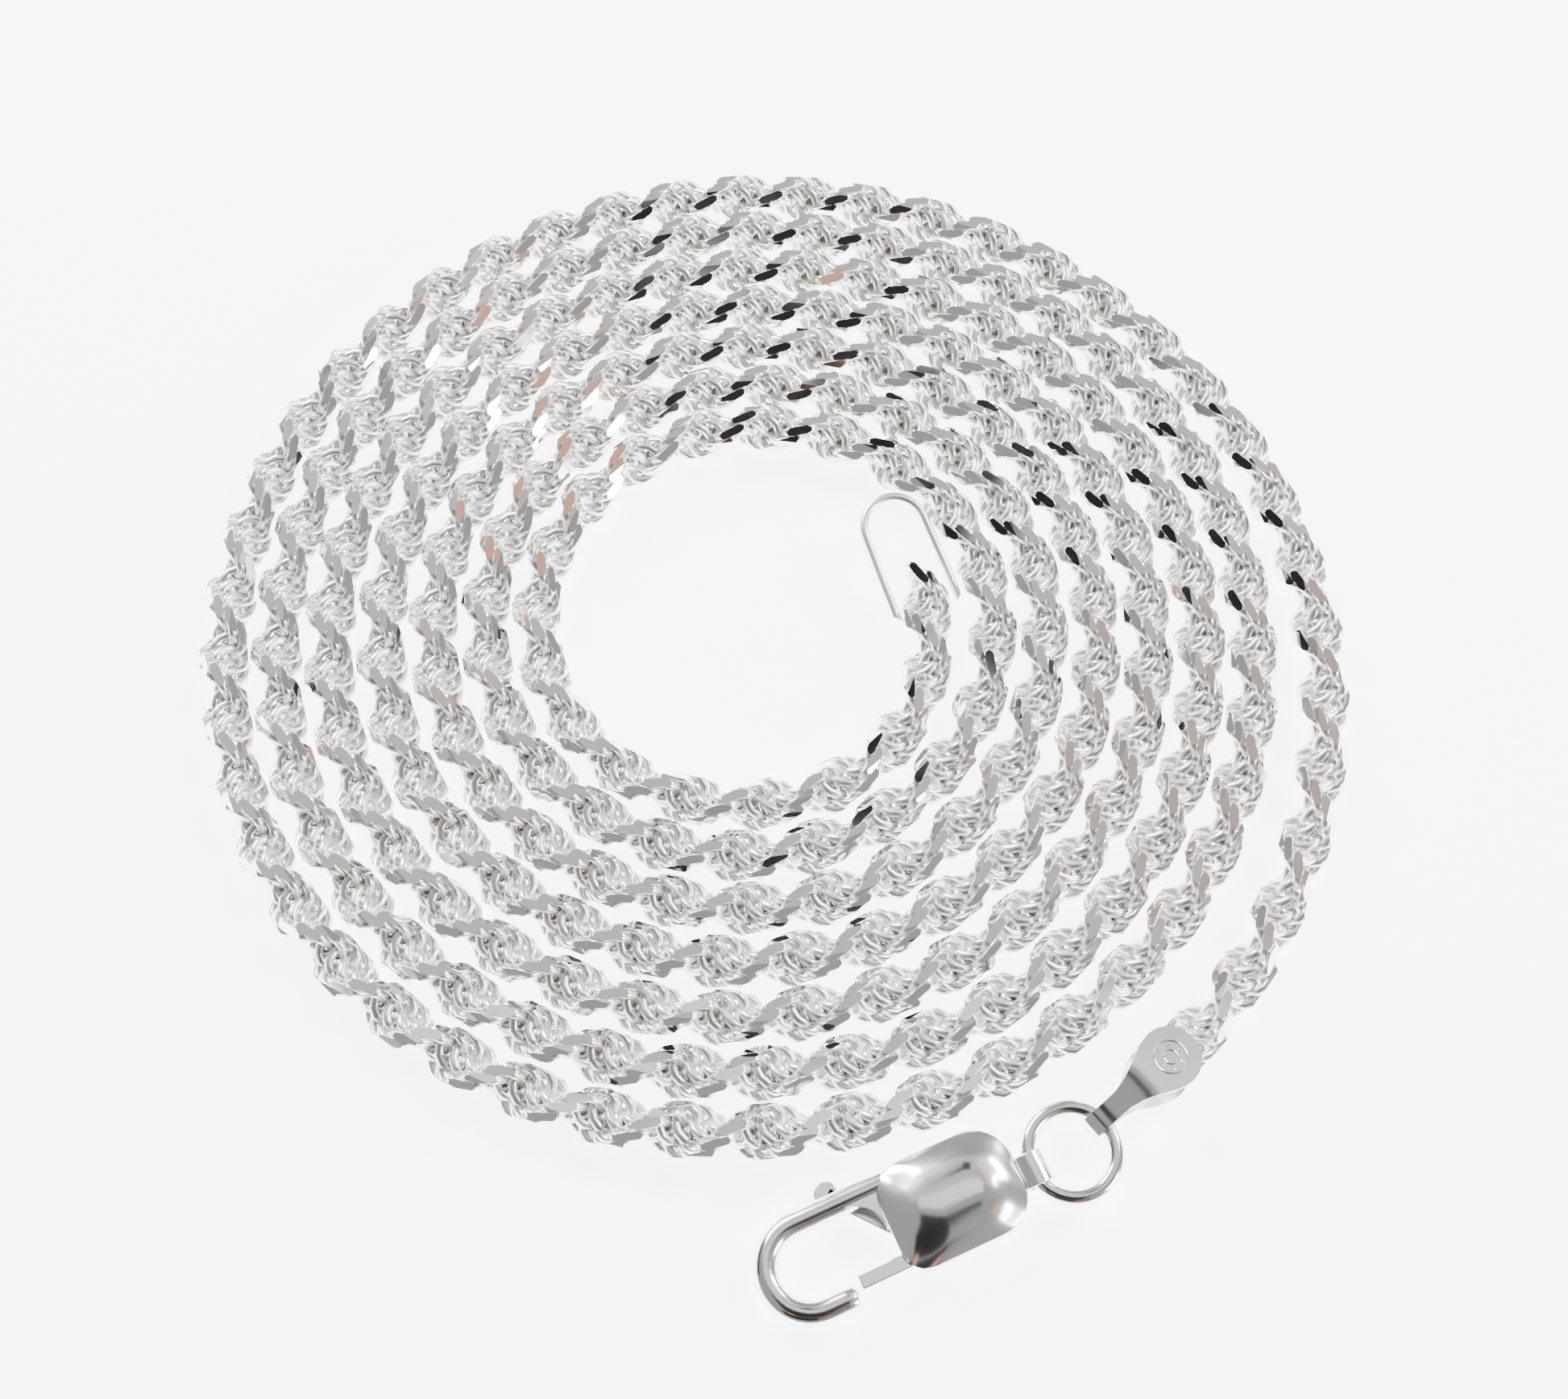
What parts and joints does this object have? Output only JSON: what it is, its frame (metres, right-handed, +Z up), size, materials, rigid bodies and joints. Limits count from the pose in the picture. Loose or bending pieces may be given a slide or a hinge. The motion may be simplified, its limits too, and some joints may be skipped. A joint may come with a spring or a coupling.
{
  "type": "rope chain necklace",
  "caption": "Twisted rope chain necklace coiled flat, with a lobster clasp on a jump ring, a folded end tab and a long end link.",
  "frame": {"origin": "centre of the bounding box in plan, at the level of the table the coil lies on", "axes": "+Z up, out of the coil; +Y away from the clasp, along the longest extent; +X towards the side where the rope's outer end meets the end tab"},
  "size_m": [0.0518, 0.0562, 0.003],
  "materials": {
    "link_silver": "polished",
    "polished_silver": "polished",
    "spring_steel": "brushed"
  },
  "bodies": {
    "rope_01": {"rope_01": "link_silver", "end_link": "link_silver"},
    "rope_02": {"rope_02": "link_silver"},
    "rope_03": {"rope_03": "link_silver"},
    "rope_04": {"rope_04": "link_silver"},
    "rope_05": {"rope_05": "link_silver"},
    "rope_06": {"rope_06": "link_silver"},
    "rope_07": {"rope_07": "link_silver"},
    "rope_08": {"rope_08": "link_silver"},
    "rope_09": {"rope_09": "link_silver"},
    "rope_10": {"rope_10": "link_silver"},
    "rope_11": {"rope_11": "link_silver"},
    "rope_12": {"rope_12": "link_silver"},
    "rope_13": {"rope_13": "link_silver"},
    "rope_14": {"rope_14": "link_silver"},
    "rope_15": {"rope_15": "link_silver"},
    "rope_16": {"rope_16": "link_silver"},
    "rope_17": {"rope_17": "link_silver"},
    "rope_18": {"rope_18": "link_silver"},
    "rope_19": {"rope_19": "link_silver"},
    "rope_20": {"rope_20": "link_silver"},
    "rope_21": {"rope_21": "link_silver"},
    "rope_22": {"rope_22": "link_silver"},
    "rope_23": {"rope_23": "link_silver"},
    "rope_24": {"rope_24": "link_silver"},
    "rope_25": {"rope_25": "link_silver"},
    "rope_26": {"rope_26": "link_silver"},
    "rope_27": {"rope_27": "link_silver"},
    "rope_28": {"rope_28": "link_silver"},
    "rope_29": {"rope_29": "link_silver"},
    "rope_30": {"rope_30": "link_silver"},
    "rope_31": {"rope_31": "link_silver"},
    "rope_32": {"rope_32": "link_silver"},
    "rope_33": {"rope_33": "link_silver"},
    "rope_34": {"rope_34": "link_silver"},
    "rope_35": {"rope_35": "link_silver"},
    "rope_36": {"rope_36": "link_silver"},
    "rope_37": {"rope_37": "link_silver"},
    "rope_38": {"rope_38": "link_silver"},
    "rope_39": {"rope_39": "link_silver"},
    "rope_40": {"rope_40": "link_silver"},
    "rope_41": {"rope_41": "link_silver"},
    "rope_42": {"rope_42": "link_silver"},
    "rope_43": {"rope_43": "link_silver"},
    "rope_44": {"rope_44": "link_silver"},
    "rope_45": {"rope_45": "link_silver"},
    "rope_46": {"rope_46": "link_silver"},
    "rope_47": {"rope_47": "link_silver"},
    "rope_48": {"rope_48": "link_silver", "end_tab": "polished_silver"},
    "jump_ring": {"jump_ring": "polished_silver"},
    "clasp": {"clasp_body": "polished_silver", "clasp_tail_loop": "polished_silver", "clasp_pivot_pin": "polished_silver", "clasp_spring": "spring_steel"},
    "lever": {"clasp_lever": "polished_silver"}
  },
  "joints": [
    {"name": "bend_01", "type": "hinge", "parent": "rope_02", "child": "rope_01", "pos_m": [-0.00074, -0.00681, 0.00115], "axis": [0.0602, -0.9982, 0], "range_deg": [-1, 1]},
    {"name": "bend_02", "type": "hinge", "parent": "rope_03", "child": "rope_02", "pos_m": [-0.01069, 0.00322, 0.00115], "axis": [-0.9988, 0.0491, 0], "range_deg": [-1, 1]},
    {"name": "bend_03", "type": "hinge", "parent": "rope_04", "child": "rope_03", "pos_m": [0.00004, 0.0127, 0.00115], "axis": [0.0571, 0.9984, 0], "range_deg": [-1, 1]},
    {"name": "bend_04", "type": "hinge", "parent": "rope_05", "child": "rope_04", "pos_m": [0.01002, 0.00221, 0.00115], "axis": [0.9998, 0.0199, 0], "range_deg": [-1, 1]},
    {"name": "bend_05", "type": "hinge", "parent": "rope_06", "child": "rope_05", "pos_m": [0.00064, -0.009, 0.00115], "axis": [0.1686, -0.9857, 0], "range_deg": [-1, 1]},
    {"name": "bend_06", "type": "hinge", "parent": "rope_07", "child": "rope_06", "pos_m": [-0.01217, -0.00175, 0.00115], "axis": [-0.9279, -0.3727, 0], "range_deg": [-1, 1]},
    {"name": "bend_07", "type": "hinge", "parent": "rope_08", "child": "rope_07", "pos_m": [-0.00816, 0.01251, 0.00115], "axis": [-0.6049, 0.7963, 0], "range_deg": [-1, 1]},
    {"name": "bend_08", "type": "hinge", "parent": "rope_09", "child": "rope_08", "pos_m": [0.00673, 0.01279, 0.00115], "axis": [0.5682, 0.8229, 0], "range_deg": [-1, 1]},
    {"name": "bend_09", "type": "hinge", "parent": "rope_10", "child": "rope_09", "pos_m": [0.01197, -0.00123, 0.00115], "axis": [0.9704, -0.2414, 0], "range_deg": [-1, 1]},
    {"name": "bend_10", "type": "hinge", "parent": "rope_11", "child": "rope_10", "pos_m": [0.00086, -0.01134, 0.00115], "axis": [0.1558, -0.9878, 0], "range_deg": [-1, 1]},
    {"name": "bend_11", "type": "hinge", "parent": "rope_12", "child": "rope_11", "pos_m": [-0.01295, -0.00528, 0.00115], "axis": [-0.8296, -0.5584, 0], "range_deg": [-1, 1]},
    {"name": "bend_12", "type": "hinge", "parent": "rope_13", "child": "rope_12", "pos_m": [-0.01353, 0.00983, 0.00115], "axis": [-0.873, 0.4877, 0], "range_deg": [-1, 1]},
    {"name": "bend_13", "type": "hinge", "parent": "rope_14", "child": "rope_13", "pos_m": [-0.00039, 0.01741, 0.00115], "axis": [0.0105, 0.9999, 0], "range_deg": [-1, 1]},
    {"name": "bend_14", "type": "hinge", "parent": "rope_15", "child": "rope_14", "pos_m": [0.01269, 0.00966, 0.00115], "axis": [0.8697, 0.4936, 0], "range_deg": [-1, 1]},
    {"name": "bend_15", "type": "hinge", "parent": "rope_16", "child": "rope_15", "pos_m": [0.01276, -0.00558, 0.00115], "axis": [0.8766, -0.4812, 0], "range_deg": [-1, 1]},
    {"name": "bend_16", "type": "hinge", "parent": "rope_17", "child": "rope_16", "pos_m": [-0.00009, -0.01381, 0.00115], "axis": [0.0742, -0.9972, 0], "range_deg": [-1, 1]},
    {"name": "bend_17", "type": "hinge", "parent": "rope_18", "child": "rope_17", "pos_m": [-0.0141, -0.00766, 0.00115], "axis": [-0.782, -0.6233, 0], "range_deg": [-1, 1]},
    {"name": "bend_18", "type": "hinge", "parent": "rope_19", "child": "rope_18", "pos_m": [-0.01708, 0.00737, 0.00115], "axis": [-0.9615, 0.2747, 0], "range_deg": [-1, 1]},
    {"name": "bend_19", "type": "hinge", "parent": "rope_20", "child": "rope_19", "pos_m": [-0.00667, 0.01864, 0.00115], "axis": [-0.353, 0.9356, 0], "range_deg": [-1, 1]},
    {"name": "bend_20", "type": "hinge", "parent": "rope_21", "child": "rope_20", "pos_m": [0.00863, 0.01715, 0.00115], "axis": [0.5248, 0.8512, 0], "range_deg": [-1, 1]},
    {"name": "bend_21", "type": "hinge", "parent": "rope_22", "child": "rope_21", "pos_m": [0.01692, 0.00418, 0.00115], "axis": [0.9925, 0.122, 0], "range_deg": [-1, 1]},
    {"name": "bend_22", "type": "hinge", "parent": "rope_23", "child": "rope_22", "pos_m": [0.01209, -0.01045, 0.00115], "axis": [0.7268, -0.6869, 0], "range_deg": [-1, 1]},
    {"name": "bend_23", "type": "hinge", "parent": "rope_24", "child": "rope_23", "pos_m": [-0.00223, -0.01618, 0.00115], "axis": [-0.0503, -0.9987, 0], "range_deg": [-1, 1]},
    {"name": "bend_24", "type": "hinge", "parent": "rope_24", "child": "rope_25", "pos_m": [-0.01596, -0.0091, 0.00115], "axis": [-0.7831, -0.6219, 0], "range_deg": [-1, 1]},
    {"name": "bend_25", "type": "hinge", "parent": "rope_25", "child": "rope_26", "pos_m": [-0.01982, 0.00587, 0.00115], "axis": [-0.9866, 0.1633, 0], "range_deg": [-1, 1]},
    {"name": "bend_26", "type": "hinge", "parent": "rope_26", "child": "rope_27", "pos_m": [-0.01139, 0.01884, 0.00115], "axis": [-0.5521, 0.8338, 0], "range_deg": [-1, 1]},
    {"name": "bend_27", "type": "hinge", "parent": "rope_27", "child": "rope_28", "pos_m": [0.00385, 0.0216, 0.00115], "axis": [0.2224, 0.9749, 0], "range_deg": [-1, 1]},
    {"name": "bend_28", "type": "hinge", "parent": "rope_28", "child": "rope_29", "pos_m": [0.01643, 0.01255, 0.00115], "axis": [0.8528, 0.5222, 0], "range_deg": [-1, 1]},
    {"name": "bend_29", "type": "hinge", "parent": "rope_29", "child": "rope_30", "pos_m": [0.01883, -0.00277, 0.00115], "axis": [0.9723, -0.2338, 0], "range_deg": [-1, 1]},
    {"name": "bend_30", "type": "hinge", "parent": "rope_30", "child": "rope_31", "pos_m": [0.00976, -0.01537, 0.00115], "axis": [0.5317, -0.8469, 0], "range_deg": [-1, 1]},
    {"name": "bend_31", "type": "hinge", "parent": "rope_31", "child": "rope_32", "pos_m": [-0.00552, -0.01811, 0.00115], "axis": [-0.2016, -0.9795, 0], "range_deg": [-1, 1]},
    {"name": "bend_32", "type": "hinge", "parent": "rope_32", "child": "rope_33", "pos_m": [-0.01852, -0.00959, 0.00115], "axis": [-0.8171, -0.5764, 0], "range_deg": [-1, 1]},
    {"name": "bend_33", "type": "hinge", "parent": "rope_33", "child": "rope_34", "pos_m": [-0.02224, 0.00551, 0.00115], "axis": [-0.9917, 0.1288, 0], "range_deg": [-1, 1]},
    {"name": "bend_34", "type": "hinge", "parent": "rope_34", "child": "rope_35", "pos_m": [-0.01482, 0.01918, 0.00115], "axis": [-0.65, 0.76, 0], "range_deg": [-1, 1]},
    {"name": "bend_35", "type": "hinge", "parent": "rope_35", "child": "rope_36", "pos_m": [-0.00017, 0.02444, 0.00115], "axis": [0.0174, 0.9998, 0], "range_deg": [-1, 1]},
    {"name": "bend_36", "type": "hinge", "parent": "rope_36", "child": "rope_37", "pos_m": [0.01432, 0.01872, 0.00115], "axis": [0.6696, 0.7427, 0], "range_deg": [-1, 1]},
    {"name": "bend_37", "type": "hinge", "parent": "rope_37", "child": "rope_38", "pos_m": [0.02155, 0.00491, 0.00115], "axis": [0.9916, 0.129, 0], "range_deg": [-1, 1]},
    {"name": "bend_38", "type": "hinge", "parent": "rope_38", "child": "rope_39", "pos_m": [0.01813, -0.0103, 0.00115], "axis": [0.8418, -0.5398, 0], "range_deg": [-1, 1]},
    {"name": "bend_39", "type": "hinge", "parent": "rope_39", "child": "rope_40", "pos_m": [0.00576, -0.01979, 0.00115], "axis": [0.3041, -0.9527, 0], "range_deg": [-1, 1]},
    {"name": "bend_40", "type": "hinge", "parent": "rope_40", "child": "rope_41", "pos_m": [-0.00984, -0.01927, 0.00115], "axis": [-0.3664, -0.9305, 0], "range_deg": [-1, 1]},
    {"name": "bend_41", "type": "hinge", "parent": "rope_41", "child": "rope_42", "pos_m": [-0.02164, -0.00904, 0.00115], "axis": [-0.8683, -0.4961, 0], "range_deg": [-1, 1]},
    {"name": "bend_42", "type": "hinge", "parent": "rope_42", "child": "rope_43", "pos_m": [-0.02449, 0.00631, 0.00115], "axis": [-0.9887, 0.1499, 0], "range_deg": [-1, 1]},
    {"name": "bend_43", "type": "hinge", "parent": "rope_43", "child": "rope_44", "pos_m": [-0.01725, 0.02016, 0.00115], "axis": [-0.6873, 0.7264, 0], "range_deg": [-1, 1]},
    {"name": "bend_44", "type": "hinge", "parent": "rope_44", "child": "rope_45", "pos_m": [-0.00303, 0.02666, 0.00115], "axis": [-0.1017, 0.9948, 0], "range_deg": [-1, 1]},
    {"name": "bend_45", "type": "hinge", "parent": "rope_45", "child": "rope_46", "pos_m": [0.01221, 0.0232, 0.00115], "axis": [0.5205, 0.8539, 0], "range_deg": [-1, 1]},
    {"name": "bend_46", "type": "hinge", "parent": "rope_46", "child": "rope_47", "pos_m": [0.02256, 0.01135, 0.00115], "axis": [0.9148, 0.4038, 0], "range_deg": [-1, 1]},
    {"name": "bend_47", "type": "hinge", "parent": "rope_47", "child": "rope_48", "pos_m": [0.02416, -0.00462, 0.00115], "axis": [0.9761, -0.2171, 0], "range_deg": [-1, 1]},
    {"name": "ring_swing", "type": "hinge", "parent": "rope_48", "child": "jump_ring", "pos_m": [0.01331, -0.0204, 0.0012], "axis": [-0.7071, 0.7071, 0], "range_deg": [-60, 60]},
    {"name": "clasp_swing", "type": "hinge", "parent": "jump_ring", "child": "clasp", "pos_m": [0.01044, -0.02238, 0.0012], "axis": [-0.4067, 0.9135, 0], "range_deg": [-60, 60]},
    {"name": "lever_press", "type": "hinge", "parent": "clasp", "child": "lever", "pos_m": [0.00579, -0.02488, 0.0012], "axis": [0, 0, -1], "range_deg": [0, 16], "stiffness_Nm_per_rad": 0.001}
  ]
}
